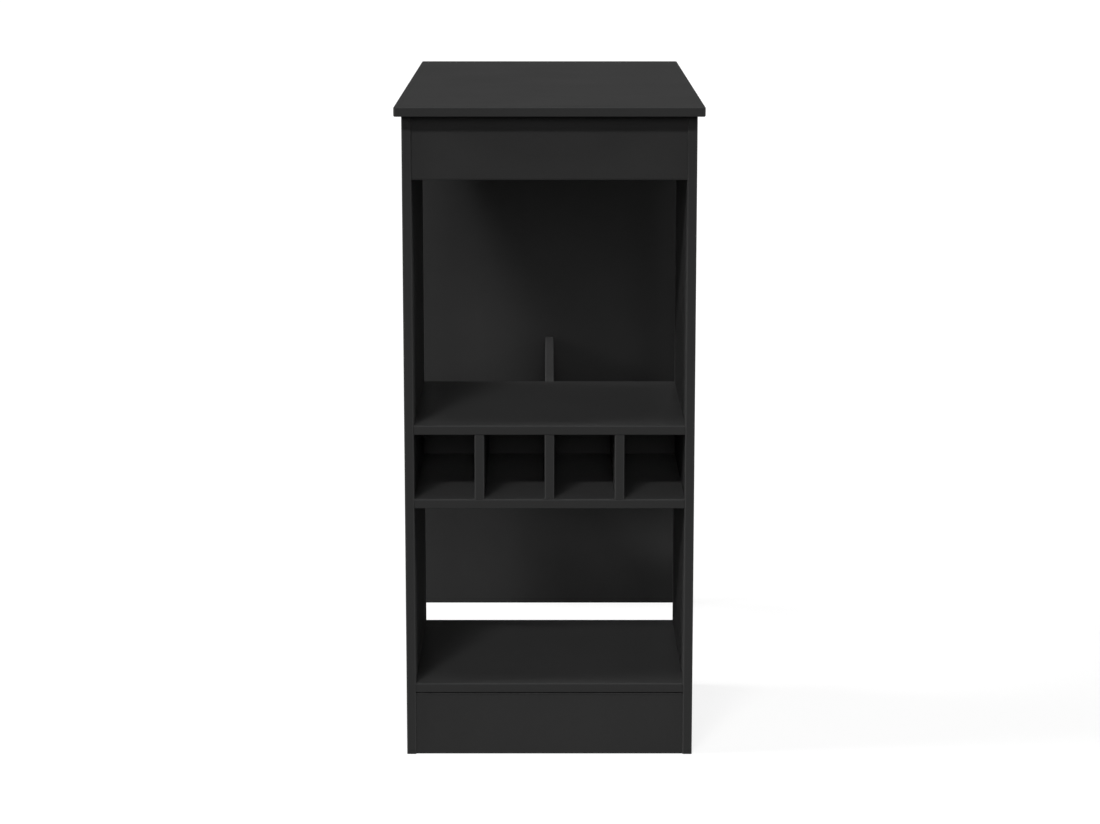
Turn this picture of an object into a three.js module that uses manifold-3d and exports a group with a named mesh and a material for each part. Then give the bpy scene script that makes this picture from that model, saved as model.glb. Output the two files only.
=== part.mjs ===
// Bar table with a shelf cabinet under one end and a panel leg under the other, in millimetres.
// The floor is at Z 0, X runs across the table and Y along it, from the shelf end to the far end.
// Every board is joined as knock-down furniture is: by a cam lock in one board that draws in the
// head of a bolt screwed into the next board, or by glued wooden dowels.

import * as THREE from "three";
import { mergeVertices } from "three/addons/utils/BufferGeometryUtils.js";
import Module from "manifold-3d";

const wasm = await Module();
wasm.setup();

// Table
const tableWidth = 476;
const tableLength = 1020;
const tableHeight = 1035;
const boardThickness = 15;
const edgeRadius = 2; // rounded edge band
const cornerEase = 1; // how much more the tabletop's corners are rounded, seen from above
const seam = 0.1; // hairline between boards that butt together
const frontOverhang = 30; // top beyond the cabinet's front edges
const rearOverhang = 20; // top beyond the end panel
const sideOverhang = 10.5; // top beyond each side of the cabinet

// Cabinet
const cabinetDepth = 400;
const shelfSetback = 0.5; // shelf fronts behind the side panels' front edges
const shelfRearInset = 9.5; // shelves' rear edges inside the side panels' rear edges
const railWidth = 100; // upright width of the apron, the rear rail and the plinth
const railRecess = 3; // rails behind the side panels' edges
const plinthGap = 2; // open line between the plinth and the bottom shelf
const lowerBayHeight = 285;
const cellCount = 4; // bottle cells side by side
const cellHeight = 103;
const rackBackInset = 30; // rack back inside the side panels' rear edges
const stretcherRelief = 1.5; // stretcher's edges inside the height of the cells

// Joints
const fitClearance = 0.3; // round a piece that lies in a bore
const jointInset = 37; // edge of a board to the first joint on it
const holeCover = 4; // board left over the end of a bolt or dowel hole
const dowelDiameter = 8;
const dowelSpread = 50; // between the two joints at the end of a rail
const dowelChamfer = 1;
const cutOverrun = 1; // how far a cutter runs past the face that it opens

// Cam lock
const camBoreDiameter = 15;
const camCover = 2.5; // board left over the closed end of a cam bore
const camSetback = 24; // joint face to the cam's centre
const camCoreDiameter = 3;
const hookWall = 1.9; // wall behind the bolt head when the cam is locked
const hookLead = 0.7; // how much thinner that wall is at the mouth
const camTurn = THREE.MathUtils.degToRad(150); // from open to locked
const crossLength = 6.5;
const crossWidth = 1.6;
const crossDepth = 2.4;
const arrowDepth = 0.6;

// Connecting bolt
const boltHoleDiameter = 5;
const boltBoreDiameter = 8;
const collarLength = 1.6;
const boltShaftDiameter = 6;
const boltNeckDiameter = 4;
const boltHeadDiameter = 6.6;
const headShoulder = 1; // cone between the neck and the head
const boltPoint = 1.4; // cone at the screw end

// Steps round each kind of curve
const edgeSteps = 3;
const camSteps = 12;
const camBoreSteps = 12;
const boltSteps = 8;
const hookSteps = 5;
const coreSteps = 3;

// Places worked out from the sizes
const quarterTurn = Math.PI / 2;
const topUnderside = tableHeight - boardThickness;
const topFront = -tableLength / 2;
const cabinetFront = topFront + frontOverhang;
const cabinetRear = cabinetFront + cabinetDepth;
const endPanelRear = tableLength / 2 - rearOverhang;
const endPanelFront = endPanelRear - boardThickness;
const cabinetHalf = tableWidth / 2 - sideOverhang;
const innerHalf = cabinetHalf - boardThickness;
const cellWidth = (2 * innerHalf - (cellCount - 1) * boardThickness) / cellCount;
const shelfFront = cabinetFront + shelfSetback;
const shelfRear = cabinetRear - shelfRearInset;
const bottomShelfBase = railWidth + plinthGap;
const rackFloorBase = bottomShelfBase + boardThickness + lowerBayHeight;
const cellFloor = rackFloorBase + boardThickness;
const middleShelfBase = cellFloor + cellHeight;
const cellMiddle = cellFloor + cellHeight / 2;
const rackBackRear = cabinetRear - rackBackInset;
const rackBackFront = rackBackRear - boardThickness;
const railFront = cabinetFront + railRecess;
const rearRailRear = cabinetRear - railRecess;
const frontJointLine = cabinetFront + jointInset;
const rackJointLine = rackBackFront - jointInset;
const holeDepth = boardThickness - holeCover;

const right = new THREE.Vector3(1, 0, 0);
const left = new THREE.Vector3(-1, 0, 0);
const rearwards = new THREE.Vector3(0, 1, 0);
const forwards = new THREE.Vector3(0, -1, 0);
const upwards = new THREE.Vector3(0, 0, 1);
const downwards = new THREE.Vector3(0, 0, -1);

const blackBoard = { color: 0x2a2a2b, roughness: 0.55, metalness: 0 };
const castZinc = { color: 0x9d9fa1, roughness: 0.45, metalness: 1 };
const platedSteel = { color: 0xb9babb, roughness: 0.3, metalness: 1 };

function solidFrom(geometry) {
  const bare = geometry.clone();
  bare.deleteAttribute("normal");
  bare.deleteAttribute("uv");
  const merged = mergeVertices(bare);
  return new wasm.Manifold(
    new wasm.Mesh({
      numProp: 3,
      vertProperties: merged.attributes.position.array,
      triVerts: new Uint32Array(merged.index.array),
    }),
  );
}

function geometryFrom(solid) {
  const { numProp, vertProperties, triVerts } = solid.getMesh();
  const geometry = new THREE.BufferGeometry();
  const stored = new THREE.InterleavedBuffer(vertProperties, numProp);
  geometry.setAttribute("position", new THREE.InterleavedBufferAttribute(stored, 3, 0));
  geometry.setIndex(new THREE.BufferAttribute(triVerts, 1));
  const flat = geometry.toNonIndexed();
  flat.computeVertexNormals();
  return flat;
}

// A round bar about the line between two points
function barBetween(start, end, diameter, steps) {
  const line = new THREE.Vector3().subVectors(end, start);
  const bar = new THREE.CylinderGeometry(diameter / 2, diameter / 2, line.length(), steps);
  const turn = new THREE.Quaternion().setFromUnitVectors(rearwards, line.clone().normalize());
  bar.applyQuaternion(turn);
  const middle = new THREE.Vector3().addVectors(start, end).divideScalar(2);
  return bar.translate(middle.x, middle.y, middle.z);
}

// A turned piece about X, from a profile of [place along X, radius] that starts and ends on the axis
function turnedAlongX(profile, steps) {
  const points = profile.map(([along, radius]) => new THREE.Vector2(radius, along));
  return new THREE.LatheGeometry(points, steps).rotateZ(-quarterTurn);
}

// The place of a joint: X runs from the joint face into the board that holds the cam or the dowel,
// Z runs out of the cam's mouth, and the origin is on the face at half the board's thickness
function jointPlace(point, inward, mouth) {
  const sideways = new THREE.Vector3().crossVectors(mouth, inward);
  return new THREE.Matrix4().makeBasis(inward, sideways, mouth).setPosition(point);
}

// The points round one corner of an outline, or the corner itself where it is square
function cornerPoints(x, y, radius, quarter) {
  if (radius === 0) return [new THREE.Vector2(x, y)];
  const centre = new THREE.Vector2(x - Math.sign(x) * radius, y - Math.sign(y) * radius);
  return Array.from({ length: edgeSteps + 1 }, (_, step) => {
    const angle = Math.PI + (quarter + step / edgeSteps) * quarterTurn;
    return new THREE.Vector2(radius * Math.cos(angle), radius * Math.sin(angle)).add(centre);
  });
}

// Outline of a board seen end on, with its low and high edge rounded or square
function boardOutline(width, thickness, lowRadius, highRadius) {
  return new THREE.Shape([
    ...cornerPoints(-width / 2, -thickness / 2, lowRadius, 0),
    ...cornerPoints(width / 2, -thickness / 2, highRadius, 1),
    ...cornerPoints(width / 2, thickness / 2, highRadius, 2),
    ...cornerPoints(-width / 2, thickness / 2, lowRadius, 3),
  ]);
}

// A board in the box between two corners: its outline lies across it and is run along it
function boardGeometry({ low, high, run, across, lowRadius = 0, highRadius = 0 }) {
  const size = new THREE.Vector3().subVectors(high, low);
  const thick = new THREE.Vector3().crossVectors(run, across);
  const outline = boardOutline(size.dot(across), Math.abs(size.dot(thick)), lowRadius, highRadius);
  const depth = size.dot(run);
  const board = new THREE.ExtrudeGeometry(outline, { depth, bevelEnabled: false });
  board.translate(0, 0, -depth / 2);
  return board.applyMatrix4(new THREE.Matrix4().makeBasis(across, thick, run));
}

// The tabletop is banded on all four sides, so its rounding goes all the way round
function tabletopGeometry({ low, high }) {
  const size = new THREE.Vector3().subVectors(high, low);
  const cornerRadius = edgeRadius + cornerEase;
  const outline = boardOutline(size.x, size.y, cornerRadius, cornerRadius);
  const depth = size.z - 2 * edgeRadius;
  const top = new THREE.ExtrudeGeometry(outline, {
    depth,
    bevelSize: edgeRadius,
    bevelThickness: edgeRadius,
    bevelOffset: -edgeRadius,
    bevelSegments: edgeSteps,
  });
  return top.translate(0, 0, -depth / 2);
}

const corner = (x, y, z) => new THREE.Vector3(x, y, z);

function tabletop() {
  return {
    name: "tabletop",
    low: corner(-tableWidth / 2, topFront, topUnderside),
    high: corner(tableWidth / 2, -topFront, tableHeight),
    shape: tabletopGeometry,
  };
}

function sidePanel(name, low, high) {
  return {
    name,
    low: corner(low, cabinetFront, 0),
    high: corner(high, cabinetRear, topUnderside - seam),
    run: upwards,
    across: rearwards,
    lowRadius: edgeRadius,
    highRadius: edgeRadius,
  };
}

function endPanel() {
  return {
    name: "end_panel",
    low: corner(-tableWidth / 2, endPanelFront, 0),
    high: corner(tableWidth / 2, endPanelRear, topUnderside - seam),
    run: upwards,
    across: right,
    lowRadius: edgeRadius,
    highRadius: edgeRadius,
  };
}

function shelf(name, base) {
  return {
    name,
    low: corner(-innerHalf + seam, shelfFront, base),
    high: corner(innerHalf - seam, shelfRear, base + boardThickness),
    run: right,
    across: rearwards,
    lowRadius: edgeRadius,
  };
}

// A rail on edge between the side panels, with its lower or upper edge rounded
function rail(name, front, base, top, lowRadius, highRadius) {
  return {
    name,
    low: corner(-innerHalf + seam, front, base),
    high: corner(innerHalf - seam, front + boardThickness, top),
    run: right,
    across: upwards,
    lowRadius,
    highRadius,
  };
}

function divider(name, middle) {
  return {
    name,
    low: corner(middle - boardThickness / 2, shelfFront, cellFloor + seam),
    high: corner(middle + boardThickness / 2, rackBackFront - seam, middleShelfBase - seam),
    run: upwards,
    across: rearwards,
    lowRadius: edgeRadius,
  };
}

function stretcher() {
  return {
    name: "stretcher",
    low: corner(-boardThickness / 2, rackBackRear + seam, cellFloor + stretcherRelief),
    high: corner(boardThickness / 2, endPanelFront - seam, middleShelfBase - stretcherRelief),
    run: rearwards,
    across: upwards,
    lowRadius: edgeRadius,
    highRadius: edgeRadius,
  };
}

// Middles of the dividers between the cells, from left to right
const dividerPitch = cellWidth + boardThickness;
const dividerMiddles = Array.from(
  { length: cellCount - 1 },
  (_, index) => (index + 1 - cellCount / 2) * dividerPitch,
);
const dividerNames = dividerMiddles.map((_, index) => `rack_divider_${index + 1}`);

const shelfBases = {
  bottom_shelf: bottomShelfBase,
  rack_floor: rackFloorBase,
  middle_shelf: middleShelfBase,
};

const railUnderTop = topUnderside - railWidth;
const boards = [
  tabletop(),
  sidePanel("side_panel_left", -cabinetHalf, -innerHalf),
  sidePanel("side_panel_right", innerHalf, cabinetHalf),
  endPanel(),
  ...Object.entries(shelfBases).map(([name, base]) => shelf(name, base)),
  rail("front_apron", railFront, railUnderTop, topUnderside - seam, edgeRadius, 0),
  rail("rear_rail", rearRailRear - boardThickness, railUnderTop, topUnderside - seam, edgeRadius, 0),
  rail("plinth", railFront, 0, railWidth, 0, edgeRadius),
  rail("rack_back", rackBackFront, cellFloor + seam, middleShelfBase - seam, 0, 0),
  ...dividerMiddles.map((middle, index) => divider(dividerNames[index], middle)),
  stretcher(),
];

// The two sides of the cabinet, each with the direction from its inner face into the cabinet
const sides = [
  { side: "left", face: -innerHalf, middle: -innerHalf - boardThickness / 2, inward: right },
  { side: "right", face: innerHalf, middle: innerHalf + boardThickness / 2, inward: left },
];

// Each shelf is hung on bolts in the side panels, with its cams in its underside
function shelfJoints({ side, face, inward }) {
  const lines = { front: frontJointLine, rear: rackJointLine };
  return Object.entries(shelfBases).flatMap(([name, base]) =>
    Object.entries(lines).map(([end, line]) => ({
      name: `${name}_${side}_${end}`,
      camBoard: name,
      boltBoard: `side_panel_${side}`,
      place: jointPlace(corner(face, line, base + boardThickness / 2), inward, downwards),
    })),
  );
}

// The side panels hang the tabletop on bolts in its underside
function sideTopJoints({ side, middle, inward }) {
  const lines = { front: frontJointLine, rear: cabinetRear - jointInset };
  return Object.entries(lines).map(([end, line]) => ({
    name: `tabletop_${side}_${end}`,
    camBoard: `side_panel_${side}`,
    boltBoard: "tabletop",
    place: jointPlace(corner(middle, line, topUnderside), downwards, inward),
  }));
}

const railMiddle = railUnderTop + railWidth / 2;
const apronMiddle = railFront + boardThickness / 2;

function apronJoint({ side, face, inward }) {
  return {
    name: `front_apron_${side}`,
    camBoard: "front_apron",
    boltBoard: `side_panel_${side}`,
    place: jointPlace(
      corner(face, apronMiddle, railMiddle + dowelSpread / 2),
      inward,
      rearwards,
    ),
  };
}

function endTopJoint({ side, inward }) {
  const x = inward.x * (jointInset - tableWidth / 2);
  return {
    name: `end_panel_${side}`,
    camBoard: "end_panel",
    boltBoard: "tabletop",
    place: jointPlace(
      corner(x, endPanelFront + boardThickness / 2, topUnderside),
      downwards,
      forwards,
    ),
  };
}

function stretcherJoints() {
  const height = cellMiddle + dowelSpread / 2;
  return [
    {
      name: "stretcher_front",
      camBoard: "stretcher",
      boltBoard: "rack_back",
      place: jointPlace(corner(0, rackBackRear, height), rearwards, right),
    },
    {
      name: "stretcher_rear",
      camBoard: "stretcher",
      boltBoard: "end_panel",
      place: jointPlace(corner(0, endPanelFront, height), forwards, right),
    },
  ];
}

const camJoints = [
  ...sides.flatMap(shelfJoints),
  ...sides.flatMap(sideTopJoints),
  ...sides.map(apronJoint),
  ...sides.map(endTopJoint),
  ...stretcherJoints(),
];

// Dowels at the ends of the rails: two in each end, or one beside the cam of the apron
function railDowels({ side, face, inward }) {
  const rearRailMiddle = rearRailRear - boardThickness / 2;
  const places = [
    ["front_apron", apronMiddle, railMiddle - dowelSpread / 2],
    ["rear_rail", rearRailMiddle, railMiddle - dowelSpread / 2],
    ["rear_rail", rearRailMiddle, railMiddle + dowelSpread / 2],
    ["plinth", apronMiddle, (railWidth - dowelSpread) / 2],
    ["plinth", apronMiddle, (railWidth + dowelSpread) / 2],
  ];
  return places.map(([name, y, z]) => ({
    dowelBoard: name,
    holeBoard: `side_panel_${side}`,
    place: jointPlace(corner(face, y, z), inward, upwards),
  }));
}

// Dowels up and down out of a board that stands between the rack floor and the middle shelf
function rackDowels(name, x, y) {
  return [
    {
      dowelBoard: name,
      holeBoard: "rack_floor",
      place: jointPlace(corner(x, y, cellFloor), upwards, right),
    },
    {
      dowelBoard: name,
      holeBoard: "middle_shelf",
      place: jointPlace(corner(x, y, middleShelfBase), downwards, right),
    },
  ];
}

function stretcherDowels() {
  const height = cellMiddle - dowelSpread / 2;
  return [
    {
      dowelBoard: "stretcher",
      holeBoard: "rack_back",
      place: jointPlace(corner(0, rackBackRear, height), rearwards, right),
    },
    {
      dowelBoard: "stretcher",
      holeBoard: "end_panel",
      place: jointPlace(corner(0, endPanelFront, height), forwards, right),
    },
  ];
}

const outerCellMiddle = innerHalf - cellWidth / 2;
const dowelJoints = [
  ...sides.flatMap(railDowels),
  ...dividerMiddles.flatMap((x, index) => [
    ...rackDowels(dividerNames[index], x, frontJointLine),
    ...rackDowels(dividerNames[index], x, rackJointLine),
  ]),
  ...rackDowels("rack_back", -outerCellMiddle, rackBackFront + boardThickness / 2),
  ...rackDowels("rack_back", outerCellMiddle, rackBackFront + boardThickness / 2),
  ...stretcherDowels(),
];

// What is cut and added at a joint, all in the joint's own place
const mouthFace = boardThickness / 2;
const camFloor = mouthFace - (boardThickness - camCover);

const camBore = barBetween(
  corner(camSetback, 0, camFloor),
  corner(camSetback, 0, mouthFace + cutOverrun),
  camBoreDiameter,
  camBoreSteps,
);
const boltBore = barBetween(
  corner(-cutOverrun, 0, 0),
  corner(camSetback, 0, 0),
  boltBoreDiameter,
  boltSteps,
);
const boltHole = barBetween(
  corner(-holeDepth, 0, 0),
  corner(cutOverrun, 0, 0),
  boltHoleDiameter,
  boltSteps,
);
const dowelHole = barBetween(
  corner(-holeDepth, 0, 0),
  corner(cutOverrun, 0, 0),
  dowelDiameter + 2 * fitClearance,
  boltSteps,
);
const dowelTip = fitClearance - holeDepth;
const dowel = turnedAlongX(
  [
    [dowelTip, 0],
    [dowelTip, dowelDiameter / 2 - dowelChamfer],
    [dowelTip + dowelChamfer, dowelDiameter / 2],
    [holeDepth, dowelDiameter / 2],
    [holeDepth, 0],
  ],
  boltSteps,
);

// The connecting bolt: screw point, shank, collar against the joint face, shaft, neck and head
function boltGeometry() {
  const shankRadius = boltHoleDiameter / 2 - fitClearance;
  const collarRadius = boltBoreDiameter / 2 - fitClearance;
  const screwEnd = fitClearance - holeDepth;
  const camWall = camSetback - camBoreDiameter / 2;
  const headTip = camSetback - camCoreDiameter / 2 - fitClearance;
  const headBack = camSetback - (camBoreDiameter / 2 - fitClearance - hookWall) + fitClearance;
  return turnedAlongX(
    [
      [screwEnd, 0],
      [screwEnd + boltPoint, shankRadius],
      [fitClearance, shankRadius],
      [fitClearance, collarRadius],
      [fitClearance + collarLength, collarRadius],
      [fitClearance + collarLength, boltShaftDiameter / 2],
      [camWall, boltShaftDiameter / 2],
      [camWall, boltNeckDiameter / 2],
      [headBack, boltNeckDiameter / 2],
      [headBack + headShoulder, boltHeadDiameter / 2],
      [headTip, boltHeadDiameter / 2],
      [headTip, 0],
    ],
    boltSteps,
  );
}

// A flat outline about the cam's centre, run for a height to each side of the bolt's line
function slabAboutBolt(outline, halfHeight) {
  const slab = new THREE.ExtrudeGeometry(outline, { depth: 2 * halfHeight, bevelEnabled: false });
  return slab.translate(0, 0, -halfHeight);
}

// A flat outline sunk into the cam's face
function sunkInFace(outline, face, depth) {
  const sunk = new THREE.ExtrudeGeometry(outline, { depth: depth + cutOverrun, bevelEnabled: false });
  return sunk.translate(0, 0, face - depth);
}

// An arc of points about the cam's centre that may wind inwards from its start to its end
function windingArc(startRadius, endRadius, startAngle, endAngle, steps) {
  return Array.from({ length: steps + 1 }, (_, step) => {
    const share = step / steps;
    const angle = THREE.MathUtils.lerp(startAngle, endAngle, share);
    const radius = THREE.MathUtils.lerp(startRadius, endRadius, share);
    return new THREE.Vector2(radius * Math.cos(angle), radius * Math.sin(angle));
  });
}

// An outline of corners that is turned about the cam's centre
function turnedOutline(corners, angle) {
  const centre = new THREE.Vector2();
  return new THREE.Shape(corners.map(([x, y]) => new THREE.Vector2(x, y).rotateAround(centre, angle)));
}

// The cross for the screwdriver, one arm after the other
function crossOutline() {
  const [reach, half] = [crossLength / 2, crossWidth / 2];
  const arm = [
    [reach, -half],
    [reach, half],
    [half, half],
  ];
  const quarters = [0, 1, 2, 3];
  const points = quarters.flatMap((quarter) => turnedOutline(arm, quarter * quarterTurn).getPoints());
  return new THREE.Shape(points);
}

// A sunk arrow at the rim that points to the cam's mouth
const arrowShares = [
  [0.92, 0],
  [0.62, 0.2],
  [0.62, -0.2],
];

// The cam lock, about its own centre at the height of the bolt. The bolt comes in along X from the
// low side. Its head lies in a pocket whose outer wall winds inwards, and its neck in a slot in that
// wall, so turning the cam draws the head towards the cam's centre and closes the joint
function camGeometry() {
  const radius = camBoreDiameter / 2 - fitClearance;
  const core = camCoreDiameter / 2;
  const headHalf = boltHeadDiameter / 2 + fitClearance;
  const neckHalf = boltNeckDiameter / 2 + fitClearance;
  const wallAtLock = radius - hookWall;
  const wallAtMouth = wallAtLock + hookLead;
  const pocketMiddle = (core + wallAtLock) / 2;
  const past = radius + cutOverrun;
  const face = mouthFace - fitClearance;
  const floor = camFloor + fitClearance;
  const lockAngle = Math.PI;
  const mouthAngle = lockAngle - camTurn;
  const pocketStart = mouthAngle - Math.asin(Math.min(headHalf / wallAtMouth, 1));
  const pocketEnd = lockAngle + Math.atan2(headHalf, core + fitClearance);

  const body = barBetween(corner(0, 0, floor), corner(0, 0, face), 2 * radius, camSteps);
  const wall = windingArc(wallAtMouth, wallAtLock, pocketStart, pocketEnd, hookSteps);
  const coreArc = windingArc(core, core, pocketEnd, pocketStart, coreSteps);
  const slotInside = windingArc(pocketMiddle, pocketMiddle, pocketEnd, mouthAngle, hookSteps);
  const slotOutside = windingArc(past, past, mouthAngle, pocketEnd, hookSteps);
  const mouth = [
    [pocketMiddle, -headHalf],
    [past, -headHalf],
    [past, headHalf],
    [pocketMiddle, headHalf],
  ];
  const arrow = arrowShares.map(([out, across]) => [out * radius, across * radius]);

  const cuts = [
    slabAboutBolt(new THREE.Shape([...wall, ...coreArc]), headHalf),
    slabAboutBolt(new THREE.Shape([...slotOutside, ...slotInside]), neckHalf),
    slabAboutBolt(turnedOutline(mouth, mouthAngle), headHalf),
    sunkInFace(crossOutline(), face, crossDepth),
    sunkInFace(turnedOutline(arrow, mouthAngle), face, arrowDepth),
  ];
  return geometryFrom(cuts.reduce((solid, cut) => solid.subtract(solidFrom(cut)), solidFrom(body)));
}

function cutterAt(geometry, place, centre) {
  const local = new THREE.Matrix4().makeTranslation(-centre.x, -centre.y, -centre.z);
  return solidFrom(geometry.clone().applyMatrix4(local.multiply(place)));
}

// A board with its dowels added and its holes cut, as a mesh about the board's own centre
function boardMesh(board) {
  const centre = new THREE.Vector3().addVectors(board.low, board.high).divideScalar(2);
  const shape = board.shape ?? boardGeometry;
  let solid = solidFrom(shape(board));
  for (const { dowelBoard, holeBoard, place } of dowelJoints) {
    if (dowelBoard === board.name) solid = solid.add(cutterAt(dowel, place, centre));
    if (holeBoard === board.name) solid = solid.subtract(cutterAt(dowelHole, place, centre));
  }
  for (const { camBoard, boltBoard, place } of camJoints) {
    if (boltBoard === board.name) solid = solid.subtract(cutterAt(boltHole, place, centre));
    if (camBoard === board.name) {
      solid = solid.subtract(cutterAt(camBore, place, centre));
      solid = solid.subtract(cutterAt(boltBore, place, centre));
    }
  }
  const mesh = new THREE.Mesh(geometryFrom(solid), new THREE.MeshStandardMaterial(blackBoard));
  mesh.name = board.name;
  mesh.position.copy(centre);
  return mesh;
}

// The cam and the bolt of one joint, in a group at the joint's place
function fittingGroup({ name, place }, camShape, boltShape) {
  const cam = new THREE.Mesh(camShape, new THREE.MeshStandardMaterial(castZinc));
  cam.name = `cam_${name}`;
  cam.position.set(camSetback, 0, 0);
  const bolt = new THREE.Mesh(boltShape, new THREE.MeshStandardMaterial(platedSteel));
  bolt.name = `bolt_${name}`;
  const group = new THREE.Group();
  place.decompose(group.position, group.quaternion, group.scale);
  group.add(cam, bolt);
  return group;
}

const camShape = camGeometry();
const boltShape = boltGeometry();
const table = new THREE.Group();
table.add(...boards.map(boardMesh));
table.add(...camJoints.map((joint) => fittingGroup(joint, camShape, boltShape)));

export default table;
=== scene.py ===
import math

import bmesh
import bpy
from mathutils import Matrix, Vector


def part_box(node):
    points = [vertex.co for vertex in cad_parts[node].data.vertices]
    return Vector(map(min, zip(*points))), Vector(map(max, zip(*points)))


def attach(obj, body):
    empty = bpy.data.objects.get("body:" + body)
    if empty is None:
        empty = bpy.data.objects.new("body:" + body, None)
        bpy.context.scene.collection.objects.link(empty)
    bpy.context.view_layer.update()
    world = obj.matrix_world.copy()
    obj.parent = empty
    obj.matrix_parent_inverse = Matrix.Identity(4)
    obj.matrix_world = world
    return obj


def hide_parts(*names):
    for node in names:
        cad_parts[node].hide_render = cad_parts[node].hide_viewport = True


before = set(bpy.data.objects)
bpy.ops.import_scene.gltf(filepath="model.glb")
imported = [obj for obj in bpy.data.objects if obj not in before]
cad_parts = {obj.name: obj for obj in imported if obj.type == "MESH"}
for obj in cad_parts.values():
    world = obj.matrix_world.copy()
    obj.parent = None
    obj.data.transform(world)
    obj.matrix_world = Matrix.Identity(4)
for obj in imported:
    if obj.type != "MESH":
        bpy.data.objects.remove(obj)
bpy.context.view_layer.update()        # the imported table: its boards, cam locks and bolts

scene = bpy.context.scene
scene.view_settings.view_transform = "Standard"
mm = 0.001  # Blender works in metres


def linearColour(hexColour):
    # sRGB hex to the linear values that the sockets take
    shares = [int(hexColour[start:start + 2], 16) / 255 for start in (1, 3, 5)]
    linear = [s / 12.92 if s <= 0.04045 else ((s + 0.055) / 1.055) ** 2.4 for s in shares]
    return (*linear, 1.0)


def addNode(tree, kind, values=None, links=None, **settings):
    # one node, with its settings, its plain socket values and what is plugged into it
    node = tree.nodes.new(kind)
    for name, setting in settings.items():
        setattr(node, name, setting)
    for socket, value in (values or {}).items():
        node.inputs[socket].default_value = value
    for socket, source in (links or {}).items():
        tree.links.new(source, node.inputs[socket])
    return node


def newMaterial(name):
    material = bpy.data.materials.new(name)
    material.use_nodes = True
    material.node_tree.nodes.clear()
    return material, material.node_tree


# Camera: straight in front of the shelf end, 1.4 m up and looking a little down
camera = {
    "eye": (0, -4.890, 1.403),
    "tiltDown": 10.86,   # degrees
    "lens": 94.04,       # mm
    "sensor": 36,        # mm wide
    "shiftX": 0.0005,    # half a pixel, to centre the table as photographed
    "farEnd": 200,       # metres, past the floor's far edge
}


def makeCamera():
    data = bpy.data.cameras.new("camera")
    data.sensor_width = camera["sensor"]
    data.lens = camera["lens"]
    data.shift_x = camera["shiftX"]
    data.clip_end = camera["farEnd"]
    seat = bpy.data.objects.new("camera", data)
    scene.collection.objects.link(seat)
    seat.location = camera["eye"]
    seat.rotation_euler = (math.radians(90 - camera["tiltDown"]), 0, 0)
    scene.camera = seat


# Studio: a white paper floor, a strip light above the camera's left and soft banks all round
studio = {
    "paper": "#ffffff",
    "bounce": "#5c5c5c",     # what the floor throws back: grey, so that the table stays dark below
    "floorSize": 160,        # metres, so that the floor fills the picture
    "shadowShare": 0.18,     # how much of the table's shadow shows on the white
    "skyStrength": 0.02,
    "lamps": {
        # name: (degrees to the left of the camera, degrees up, width in degrees, strength)
        # the strip light is long and thin, so it is drawn as four narrow suns side by side
        "strip1": (8.5, 37.5, 4.5, 0.26),
        "strip2": (13, 37.5, 4.5, 0.43),
        "strip3": (17.5, 37.5, 4.5, 0.75),
        "strip4": (22, 37.5, 4.5, 0.48),
        "leftLow": (85, 22, 12, 2.7),
        "leftHigh": (95, 45, 14, 2.1),
        "rightLow": (-85, 22, 12, 1.9),
        "rightRear": (-118, 32, 40, 0.4),
        "rightFront": (-50, 38, 20, 0.13),
        "leftFront": (45, 14, 14, 0.16),
        "frontFill": (0, 18, 10, 0.56),
        "lowFill": (0, 10, 9, 0.51),
        "backFill": (180, 6, 12, 1.1),
    },
}


def seenByCamera(tree):
    # 1 for rays from the camera, and for those that gloss or glass sends on
    path = addNode(tree, "ShaderNodeLightPath")
    seen = path.outputs["Is Camera Ray"]
    for ray in ("Is Glossy Ray", "Is Transmission Ray"):
        either = addNode(tree, "ShaderNodeMath", links={0: seen, 1: path.outputs[ray]},
                         operation="MAXIMUM")
        seen = either.outputs[0]
    return seen


def makeFloor():
    material, tree = newMaterial("whitePaperFloor")
    white = linearColour(studio["paper"])
    paper = addNode(tree, "ShaderNodeBsdfDiffuse", {"Color": white})
    bounce = addNode(tree, "ShaderNodeBsdfDiffuse", {"Color": linearColour(studio["bounce"])})
    glow = addNode(tree, "ShaderNodeEmission", {"Color": white, "Strength": 1})
    shown = addNode(tree, "ShaderNodeMixShader", {0: studio["shadowShare"]},
                    {1: glow.outputs[0], 2: paper.outputs[0]})
    mixed = addNode(tree, "ShaderNodeMixShader",
                    links={0: seenByCamera(tree), 1: bounce.outputs[0], 2: shown.outputs[0]})
    addNode(tree, "ShaderNodeOutputMaterial", links={"Surface": mixed.outputs[0]})
    reach = studio["floorSize"] / 2
    corners = [(-reach, -reach, 0), (reach, -reach, 0), (reach, reach, 0), (-reach, reach, 0)]
    mesh = bpy.data.meshes.new("floor")
    mesh.from_pydata(corners, [], [(0, 1, 2, 3)])
    mesh.materials.append(material)
    floor = bpy.data.objects.new("floor", mesh)
    scene.collection.objects.link(floor)


def makeSky():
    # the table is lit by a dim sky, while the picture shows the paper's white
    world = bpy.data.worlds.new("studioSky")
    scene.world = world
    world.use_nodes = True
    tree = world.node_tree
    tree.nodes.clear()
    white = linearColour(studio["paper"])
    dim = addNode(tree, "ShaderNodeBackground", {"Color": white, "Strength": studio["skyStrength"]})
    shown = addNode(tree, "ShaderNodeBackground", {"Color": white, "Strength": 1})
    mixed = addNode(tree, "ShaderNodeMixShader",
                    links={0: seenByCamera(tree), 1: dim.outputs[0], 2: shown.outputs[0]})
    addNode(tree, "ShaderNodeOutputWorld", links={"Surface": mixed.outputs[0]})


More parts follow.
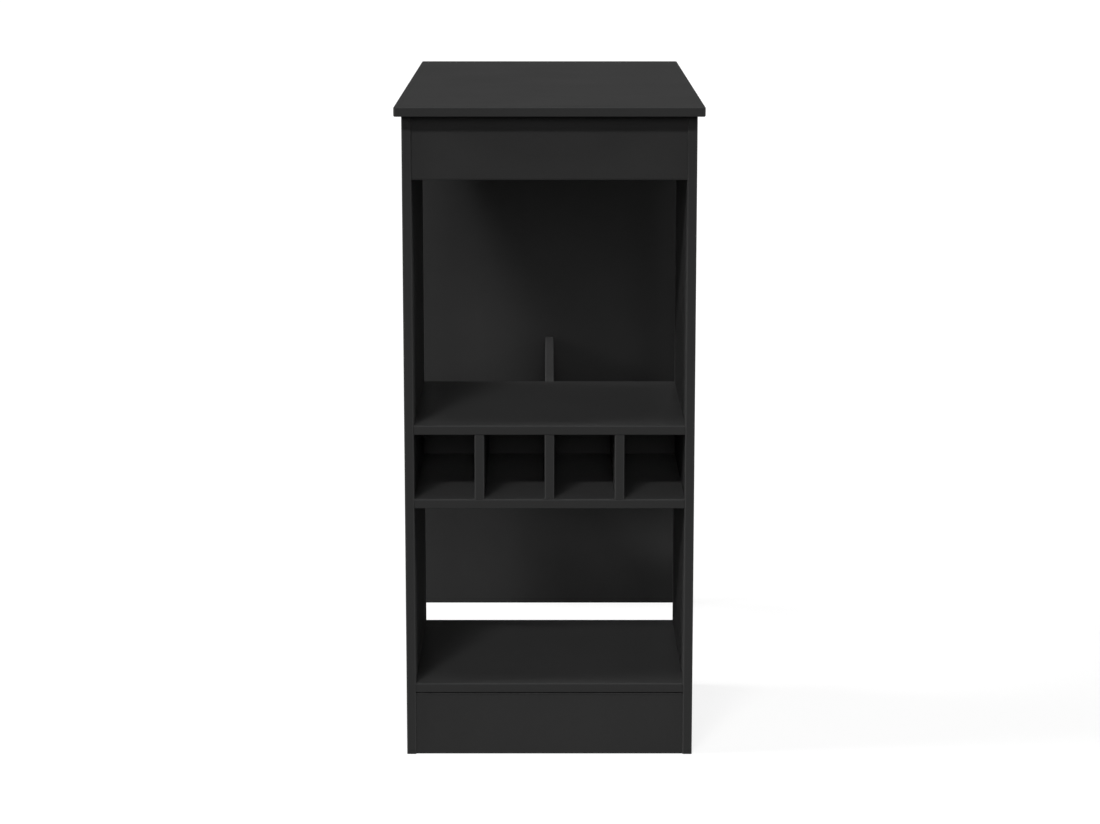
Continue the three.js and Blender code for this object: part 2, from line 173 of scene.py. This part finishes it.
def makeLamps():
    for name, (left, up, width, strength) in studio["lamps"].items():
        lamp = bpy.data.lights.new(name, "SUN")
        lamp.energy = strength
        lamp.angle = math.radians(width)
        across, rise = math.radians(left), math.radians(up)
        level = math.cos(rise)
        towards = Vector((-math.sin(across) * level, -math.cos(across) * level, math.sin(rise)))
        holder = bpy.data.objects.new(name, lamp)
        scene.collection.objects.link(holder)
        holder.rotation_mode = "QUATERNION"
        holder.rotation_quaternion = towards.to_track_quat("Z", "Y")


makeCamera()
makeFloor()
makeSky()
makeLamps()
print("studio: camera, white floor, sky and", len(studio["lamps"]), "lamps")


# Boards: particleboard faced with matt black melamine paper, pressed against a fine pearl plate.
# To the eye it is a flat, nearly neutral black with a dull, even sheen. The banded edges are ABS
# strips, scraped round and a little smoother; the thin line of light along them is a painted
# highlight
melamine = {
    "colour": "#2d2d2d",
    "bandColour": "#2d2d2d",
    "paintedArrisHighlight": "#323232",    # painted highlight on the rounded arrises, standing also for the pale that scraping leaves in the plastic
    "glueColour": "#0c0c0c",
    "roughness": 0.86,
    "bandRoughness": 0.8,
    "roughnessDrift": 0.03,      # how much the pressing varies over a board
    "roughnessNoise": (0.3, 0.7),   # the part of the noise that this drift follows
    "toneDrift": 0.05,           # the share by which the black varies as well
    "toneNoise": (0.25, 0.75),
    "driftSize": 120,            # mm
    "ior": 1.5,
    "shine": 0.004,              # specular level: the resin is matted dead
    "topShine": 0.0,             # and deader still on the tabletop, which is seen at a low angle
    "tooth": 0.35,               # the paper's fine relief sends light back the way it came
    "pearlSize": 2.2,            # mm; the real pearl is 0.5 mm, too fine to show
    "pearlDepth": 0.1,           # mm
    "bandThickness": 2.0,        # mm
    "glueLine": 0.25,            # mm, the hairline between the band and the face
    "arrisFrom": 0.99,           # a normal with no part above this is an arris's
}

# which sides of each board are banded: -x is the low end of X, and so on
bandedSides = {
    "tabletop": ("-x", "+x", "-y", "+y"),
    "side_panel_left": ("-y", "+y"),
    "side_panel_right": ("-y", "+y"),
    "end_panel": ("-x", "+x"),
    "bottom_shelf": ("-y", "+y"),
    "rack_floor": ("-y", "+y"),
    "middle_shelf": ("-y", "+y"),
    "front_apron": ("-z",),
    "rear_rail": ("-z",),
    "plinth": ("+z",),
    "rack_back": (),
    "rack_divider_1": ("-y",),
    "rack_divider_2": ("-y",),
    "rack_divider_3": ("-y",),
    "stretcher": ("-z", "+z"),
}


def distanceToBands(tree, place, board):
    # metres from the shaded point to the nearest banded edge of the board
    low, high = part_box(board)
    parts = addNode(tree, "ShaderNodeSeparateXYZ", links={0: place})
    nearest = None
    for side in bandedSides[board]:
        axis = "xyz".index(side[1])
        edge = low[axis] if side[0] == "-" else high[axis]
        offset = addNode(tree, "ShaderNodeMath", {1: edge}, {0: parts.outputs[axis]},
                         operation="SUBTRACT")
        away = addNode(tree, "ShaderNodeMath", links={0: offset.outputs[0]}, operation="ABSOLUTE")
        if nearest is None:
            nearest = away.outputs[0]
            continue
        nearer = addNode(tree, "ShaderNodeMath", links={0: nearest, 1: away.outputs[0]},
                         operation="MINIMUM")
        nearest = nearer.outputs[0]
    return nearest


def onArris(tree):
    # 1 where the surface faces between two of the board's own directions, as its rounded arrises do
    facing = addNode(tree, "ShaderNodeNewGeometry").outputs["True Normal"]
    sizes = addNode(tree, "ShaderNodeVectorMath", links={0: facing}, operation="ABSOLUTE")
    parts = addNode(tree, "ShaderNodeSeparateXYZ", links={0: sizes.outputs[0]})
    largest = parts.outputs[0]
    for part in parts.outputs[1:]:
        larger = addNode(tree, "ShaderNodeMath", links={0: largest, 1: part}, operation="MAXIMUM")
        largest = larger.outputs[0]
    tilted = addNode(tree, "ShaderNodeMath", {1: melamine["arrisFrom"]}, {0: largest},
                     operation="LESS_THAN")
    return tilted.outputs[0]


def melamineMaterial(board):
    m = melamine
    material, tree = newMaterial("blackMelamine_" + board)
    place = addNode(tree, "ShaderNodeTexCoord").outputs["Object"]

    # the pearl of the press plate, and the slow drift of its sheen
    pearl = addNode(tree, "ShaderNodeTexNoise",
                    {"Scale": 1 / (m["pearlSize"] * mm), "Detail": 2, "Roughness": 0.4},
                    {"Vector": place})
    drift = addNode(tree, "ShaderNodeTexNoise",
                    {"Scale": 1 / (m["driftSize"] * mm), "Detail": 3, "Roughness": 0.5},
                    {"Vector": place})
    sheen = addNode(tree, "ShaderNodeMapRange", {
        "From Min": m["roughnessNoise"][0], "To Min": m["roughness"] - m["roughnessDrift"],
        "From Max": m["roughnessNoise"][1], "To Max": m["roughness"] + m["roughnessDrift"],
    }, {"Value": drift.outputs[0]})
    tone = addNode(tree, "ShaderNodeMapRange", {
        "From Min": m["toneNoise"][0], "To Min": 1 - m["toneDrift"],
        "From Max": m["toneNoise"][1], "To Max": 1 + m["toneDrift"],
    }, {"Value": drift.outputs[0]})
    paper = addNode(tree, "ShaderNodeVectorMath", {0: linearColour(m["colour"])[:3]},
                    {3: tone.outputs[0]}, operation="SCALE")
    colour, roughness, relief = paper.outputs[0], sheen.outputs[0], pearl.outputs[0]

    if bandedSides[board]:
        distance = distanceToBands(tree, place, board)
        thickness, halfLine = m["bandThickness"] * mm, m["glueLine"] / 2 * mm
        # 1 on the ABS band, 0 on the melamine face
        onBand = addNode(tree, "ShaderNodeMath", {1: thickness}, {0: distance},
                         operation="LESS_THAN").outputs[0]
        # 1 on the hairline of glue between the two
        offset = addNode(tree, "ShaderNodeMath", {1: thickness}, {0: distance},
                         operation="SUBTRACT")
        away = addNode(tree, "ShaderNodeMath", links={0: offset.outputs[0]}, operation="ABSOLUTE")
        onLine = addNode(tree, "ShaderNodeMath", {1: halfLine}, {0: away.outputs[0]},
                         operation="LESS_THAN").outputs[0]
        # a Mix node's colours are its sockets 6 and 7 and its plain numbers 2 and 3
        banded = addNode(tree, "ShaderNodeMix", {7: linearColour(m["bandColour"])},
                         {0: onBand, 6: colour}, data_type="RGBA")
        # the rounded arrises are coloured lighter: a painted highlight, with some of the pale of
        # the scraped plastic
        arrisHighlightPainted = addNode(tree, "ShaderNodeMix", {7: linearColour(m["paintedArrisHighlight"])},
                          {0: onArris(tree), 6: banded.outputs[2]}, data_type="RGBA")
        glued = addNode(tree, "ShaderNodeMix", {7: linearColour(m["glueColour"])},
                        {0: onLine, 6: arrisHighlightPainted.outputs[2]}, data_type="RGBA")
        colour = glued.outputs[2]
        roughness = addNode(tree, "ShaderNodeMix", {3: m["bandRoughness"]},
                            {0: onBand, 2: roughness}).outputs[0]
        flat = 0.5  # the middle height of the pearl's noise
        relief = addNode(tree, "ShaderNodeMix", {3: flat}, {0: onBand, 2: relief}).outputs[0]

    bump = addNode(tree, "ShaderNodeBump", {"Strength": 1, "Distance": m["pearlDepth"] * mm},
                   {"Height": relief})
    shine = m["topShine"] if board == "tabletop" else m["shine"]
    surface = addNode(tree, "ShaderNodeBsdfPrincipled",
                      {"IOR": m["ior"], "Specular IOR Level": shine,
                       "Diffuse Roughness": m["tooth"]},
                      {"Base Color": colour, "Roughness": roughness, "Normal": bump.outputs[0]})
    addNode(tree, "ShaderNodeOutputMaterial", links={"Surface": surface.outputs[0]})
    return material


def dressBoards():
    for board in bandedSides:
        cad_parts[board].material_slots[0].material = melamineMaterial(board)


dressBoards()
print("boards:", len(bandedSides), "in black melamine")

# Cam locks: zinc, pressure die-cast. To the eye a dull mid grey with a fine grain from the die, and
# sharp dark corners in the cross recess. One is built round here and set in all the bores
camLock = {
    "colour": "#9a9c9e",
    "roughness": 0.46,
    "roughnessSpread": 0.07,
    "grainNoise": (0.3, 0.7),   # the part of the noise that this spread follows
    "grainSize": 0.5,         # mm, from the blasted die
    "grainDepth": 0.02,       # mm
    "steps": 64,              # faces round it
    "sharpFrom": 28,          # degrees between two faces from which their edge stays sharp
    "turn": 150,              # degrees from open to locked
    # all in mm from here, with heights from the line of the bolt
    "radius": 7.2,
    "floor": -4.7,
    "face": 7.2,
    "chamfer": 0.35,
    "setback": 24,            # from the joint face to the cam's centre
    "crossReach": 3.3,
    "crossHalfWidth": 0.85,
    "crossDepth": 2.4,
    "crossTaper": 0.72,       # how much smaller the cross is at its foot
    "arrowTip": 6.5,
    "arrowFoot": 4.5,
    "arrowHalfWidth": 1.4,
    "arrowDepth": 0.5,
    "core": 1.5,
    "wallAtMouth": 6.0,       # the pocket's outer wall, where the bolt's head comes in
    "wallAtLock": 5.3,        # and where it has drawn the head in
    "headHalf": 3.6,
    "headRoom": 0.3,          # between the core and the tip of the locked head
    "neckHalf": 2.3,
    "cutPast": 1.0,           # how far the cuts run out past the rim
    "cutAbove": 0.01,         # and above the face
}


def newPiece(name, shape):
    # turns a bmesh into an object, with all its faces turned outwards
    bmesh.ops.recalc_face_normals(shape, faces=shape.faces)
    mesh = bpy.data.meshes.new(name)
    shape.to_mesh(mesh)
    shape.free()
    piece = bpy.data.objects.new(name, mesh)
    scene.collection.objects.link(piece)
    return piece


def turnedPiece(name, profile, steps):
    # a closed turned piece about Z, from (radius, height) pairs in mm, first and last on the axis
    shape = bmesh.new()
    turns = [2 * math.pi * step / steps for step in range(steps)]
    circle = [(math.cos(turn), math.sin(turn)) for turn in turns]
    rings = []
    for radius, height in profile:
        points = [(radius * x * mm, radius * y * mm, height * mm) for x, y in circle]
        if radius == 0:
            rings.append([shape.verts.new(points[0])] * steps)
        else:
            rings.append([shape.verts.new(point) for point in points])
    for lower, upper in zip(rings, rings[1:]):
        for step in range(steps):
            following = (step + 1) % steps
            corners = (lower[step], lower[following], upper[following], upper[step])
            shape.faces.new(dict.fromkeys(corners))  # three corners where a ring is one point
    return newPiece(name, shape)


def blockPiece(name, outline, low, high, lowShare=1.0):
    # a closed block with an outline of (x, y) points in mm, whose low end may be smaller
    shape = bmesh.new()
    lower = [shape.verts.new((x * lowShare * mm, y * lowShare * mm, low * mm)) for x, y in outline]
    upper = [shape.verts.new((x * mm, y * mm, high * mm)) for x, y in outline]
    shape.faces.new(reversed(lower))
    shape.faces.new(upper)
    for index in range(len(outline)):
        following = (index + 1) % len(outline)
        shape.faces.new((lower[index], lower[following], upper[following], upper[index]))
    return newPiece(name, shape)


def turnedPoints(points, degrees):
    turn = math.radians(degrees)
    return [(x * math.cos(turn) - y * math.sin(turn), x * math.sin(turn) + y * math.cos(turn))
            for x, y in points]


def arcPoints(startRadius, endRadius, startDegrees, endDegrees, steps=24):
    # an arc about the cam's centre that may wind inwards
    points = []
    for step in range(steps + 1):
        share = step / steps
        radius = startRadius + (endRadius - startRadius) * share
        points += turnedPoints([(radius, 0)], startDegrees + (endDegrees - startDegrees) * share)
    return points


def cutAway(piece, cutters):
    for cutter in cutters:
        cut = piece.modifiers.new(cutter.name, "BOOLEAN")
        cut.operation = "DIFFERENCE"
        cut.solver = "EXACT"
        cut.object = cutter
    shaped = piece.evaluated_get(bpy.context.evaluated_depsgraph_get())
    mesh = bpy.data.meshes.new_from_object(shaped)
    piece.modifiers.clear()
    piece.data = mesh
    for cutter in cutters:
        bpy.data.objects.remove(cutter)


def camCutters():
    # the pocket for the bolt's head, the slot for its neck, the way in, the cross and the arrow
    c = camLock
    past, above = c["radius"] + c["cutPast"], c["face"] + c["cutAbove"]
    mouth = 180 - c["turn"]
    middle = (c["core"] + c["wallAtLock"]) / 2
    head, neck = c["headHalf"], c["neckHalf"]
    start = mouth - math.degrees(math.asin(head / c["wallAtMouth"]))
    end = 180 + math.degrees(math.atan2(head, c["core"] + c["headRoom"]))
    reach, half = c["crossReach"], c["crossHalfWidth"]
    arm = [(reach, -half), (reach, half), (half, half)]
    cross = [point for quarter in range(4) for point in turnedPoints(arm, 90 * quarter)]
    foot, side = c["arrowFoot"], c["arrowHalfWidth"]
    arrow = turnedPoints([(c["arrowTip"], 0), (foot, side), (foot, -side)], mouth)
    pocket = arcPoints(c["wallAtMouth"], c["wallAtLock"], start, end)
    pocket += arcPoints(c["core"], c["core"], end, start)
    slot = arcPoints(past, past, mouth, end) + arcPoints(middle, middle, end, mouth)
    entry = turnedPoints([(middle, -head), (past, -head), (past, head), (middle, head)], mouth)
    return [
        blockPiece("pocketCut", pocket, -head, head),
        blockPiece("slotCut", slot, -neck, neck),
        blockPiece("entryCut", entry, -head, head),
        blockPiece("crossCut", cross, c["face"] - c["crossDepth"], above, c["crossTaper"]),
        blockPiece("arrowCut", arrow, c["face"] - c["arrowDepth"], above),
    ]


def makeCamShape():
    c = camLock
    rim = c["radius"] - c["chamfer"]
    body = turnedPiece("camShape", [
        (0, c["floor"]), (rim, c["floor"]), (c["radius"], c["floor"] + c["chamfer"]),
        (c["radius"], c["face"] - c["chamfer"]), (rim, c["face"]), (0, c["face"]),
    ], c["steps"])
    cutAway(body, camCutters())
    mesh = body.data
    mesh.shade_smooth()
    mesh.set_sharp_from_angle(angle=math.radians(c["sharpFrom"]))
    bpy.data.objects.remove(body)
    return mesh


def castZincMaterial():
    c = camLock
    material, tree = newMaterial("dieCastZinc")
    place = addNode(tree, "ShaderNodeTexCoord").outputs["Object"]
    grain = addNode(tree, "ShaderNodeTexNoise", {"Scale": 1 / (c["grainSize"] * mm), "Detail": 2},
                    {"Vector": place})
    sheen = addNode(tree, "ShaderNodeMapRange", {
        "From Min": c["grainNoise"][0], "To Min": c["roughness"] - c["roughnessSpread"],
        "From Max": c["grainNoise"][1], "To Max": c["roughness"] + c["roughnessSpread"],
    }, {"Value": grain.outputs[0]})
    bump = addNode(tree, "ShaderNodeBump", {"Strength": 1, "Distance": c["grainDepth"] * mm},
                   {"Height": grain.outputs[0]})
    surface = addNode(tree, "ShaderNodeBsdfPrincipled",
                      {"Base Color": linearColour(c["colour"]), "Metallic": 1},
                      {"Roughness": sheen.outputs[0], "Normal": bump.outputs[0]})
    addNode(tree, "ShaderNodeOutputMaterial", links={"Surface": surface.outputs[0]})
    return material


def camPlace(joint):
    # X from the bolt's screw end into the cam's board, Z out of the bore, origin on the bolt's line
    camLow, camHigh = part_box("cam_" + joint)
    boltLow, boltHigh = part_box("bolt_" + joint)
    size = camHigh - camLow
    centre = (camLow + camHigh) / 2
    offset = (boltLow + boltHigh) / 2 - centre
    thin = min(range(3), key=lambda axis: size[axis])
    along = max((axis for axis in range(3) if axis != thin), key=lambda axis: abs(offset[axis]))
    inward, mouth = Vector((0, 0, 0)), Vector((0, 0, 0))
    inward[along] = -math.copysign(1, offset[along])
    mouth[thin] = -math.copysign(1, offset[thin])
    centre[thin] += offset[thin]
    place = Matrix((inward, mouth.cross(inward), mouth)).transposed().to_4x4()
    place.translation = centre
    return place


def fitCams(joints):
    shape = makeCamShape()
    shape.materials.append(castZincMaterial())
    for joint in joints:
        cam = bpy.data.objects.new("cast_cam_" + joint, shape)
        scene.collection.objects.link(cam)
        cam.matrix_world = camPlace(joint)
        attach(cam, "root")
        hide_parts("cam_" + joint)


joints = sorted(name.removeprefix("cam_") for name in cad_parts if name.startswith("cam_"))
fitCams(joints)
print("cam locks:", len(joints), "of cast zinc, each in its bore")

# Connecting bolts: cold-headed steel with a rolled coarse thread, zinc plated and passivated. To
# the eye a bright, slightly blue-grey metal, with fine lines round it where the steel was rolled
bolt = {
    "colour": "#b4b8bc",
    "roughness": 0.3,
    "roughnessSpread": 0.05,
    "ringSize": 0.35,         # mm from line to line; the real 0.1 mm is too fine to show
    "ringDepth": 0.0015,      # mm
    "steps": 32,              # faces round it
    "sharpFrom": 35,          # degrees between two faces from which their edge stays sharp
    # all in mm from here, with lengths from the joint face: screw end below 0, head above
    "screwEnd": -10.7,
    "pointEnd": -9.0,
    "tipRadius": 0.99,
    "tipRound": 0.3,
    "threadPitch": 1.8,       # drawn as rings, one to a turn
    "threadCrest": 2.2,
    "threadRoot": 1.65,
    "crestAt": 0.45,          # as a share of the pitch
    "crestWidth": 0.15,
    "collarFoot": 0.3,
    "collarTop": 1.9,
    "collarRadius": 3.7,
    "footChamfer": 0.2,
    "topChamfer": 0.3,
    "shaftRadius": 3.0,
    "neckStart": 16.5,
    "neckTaper": 0.5,
    "neckRadius": 2.0,
    "headBack": 19.0,
    "headCone": 0.9,          # from the neck out to the head's rear chamfer
    "rearChamfer": (0.2, 0.3),  # across and along
    "headRadius": 3.3,
    "headTip": 22.2,
    "tipChamfer": 0.4,
}


def boltProfile():
    # (radius, length) pairs from the point to the head
    b = bolt
    profile = [(0, b["screwEnd"]), (b["tipRadius"], b["screwEnd"] + b["tipRound"])]
    crest, root, pitch = b["threadCrest"], b["threadRoot"], b["threadPitch"]
    turns = int((b["collarFoot"] - b["pointEnd"]) / pitch)
    for turn in range(turns):
        start = b["pointEnd"] + turn * pitch
        crestStart = start + pitch * b["crestAt"]
        profile += [(root, start), (crest, crestStart), (crest, crestStart + b["crestWidth"])]
    collar, shaft, head = b["collarRadius"], b["shaftRadius"], b["headRadius"]
    across, along = b["rearChamfer"]
    coneEnd = b["headBack"] + b["headCone"]
    profile += [
        (root, b["pointEnd"] + turns * pitch), (root, b["collarFoot"]),
        (collar - b["footChamfer"], b["collarFoot"]), (collar, b["collarFoot"] + b["footChamfer"]),
        (collar, b["collarTop"] - b["topChamfer"]), (collar - b["topChamfer"], b["collarTop"]),
        (shaft, b["collarTop"]), (shaft, b["neckStart"] - b["neckTaper"]),
        (b["neckRadius"], b["neckStart"]), (b["neckRadius"], b["headBack"]),
        (head - across, coneEnd), (head, coneEnd + along),
        (head, b["headTip"] - b["tipChamfer"]), (head - b["tipChamfer"], b["headTip"]),
        (0, b["headTip"]),
    ]
    return profile


def platedSteelMaterial():
    b = bolt
    material, tree = newMaterial("zincPlatedSteel")
    place = addNode(tree, "ShaderNodeTexCoord").outputs["Object"]
    bandSpacing = 2 * math.pi / 20  # of a wave texture at a scale of 1
    rings = addNode(tree, "ShaderNodeTexWave",
                    {"Scale": bandSpacing / (b["ringSize"] * mm), "Distortion": 1.5, "Detail": 2},
                    {"Vector": place}, bands_direction="Z")
    bump = addNode(tree, "ShaderNodeBump", {"Strength": 1, "Distance": b["ringDepth"] * mm},
                   {"Height": rings.outputs["Fac"]})
    sheen = addNode(tree, "ShaderNodeMapRange", {
        "To Min": b["roughness"] - b["roughnessSpread"],
        "To Max": b["roughness"] + b["roughnessSpread"],
    }, {"Value": rings.outputs["Fac"]})
    surface = addNode(tree, "ShaderNodeBsdfPrincipled",
                      {"Base Color": linearColour(b["colour"]), "Metallic": 1},
                      {"Roughness": sheen.outputs[0], "Normal": bump.outputs[0]})
    addNode(tree, "ShaderNodeOutputMaterial", links={"Surface": surface.outputs[0]})
    return material


def fitBolts(joints):
    turned = turnedPiece("boltShape", boltProfile(), bolt["steps"])
    shape = turned.data
    bpy.data.objects.remove(turned)
    shape.shade_smooth()
    shape.set_sharp_from_angle(angle=math.radians(bolt["sharpFrom"]))
    shape.materials.append(platedSteelMaterial())
    # from the bolt's own length along Z to the cam's X, starting at the joint face
    toCamX = Matrix.Rotation(math.pi / 2, 4, "Y")
    fromJointFace = Matrix.Translation((-camLock["setback"] * mm, 0, 0)) @ toCamX
    for joint in joints:
        piece = bpy.data.objects.new("plated_bolt_" + joint, shape)
        scene.collection.objects.link(piece)
        piece.matrix_world = camPlace(joint) @ fromJointFace
        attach(piece, "root")
        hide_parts("bolt_" + joint)


fitBolts(joints)
print("bolts:", len(joints), "of plated steel, each with its head in a cam")
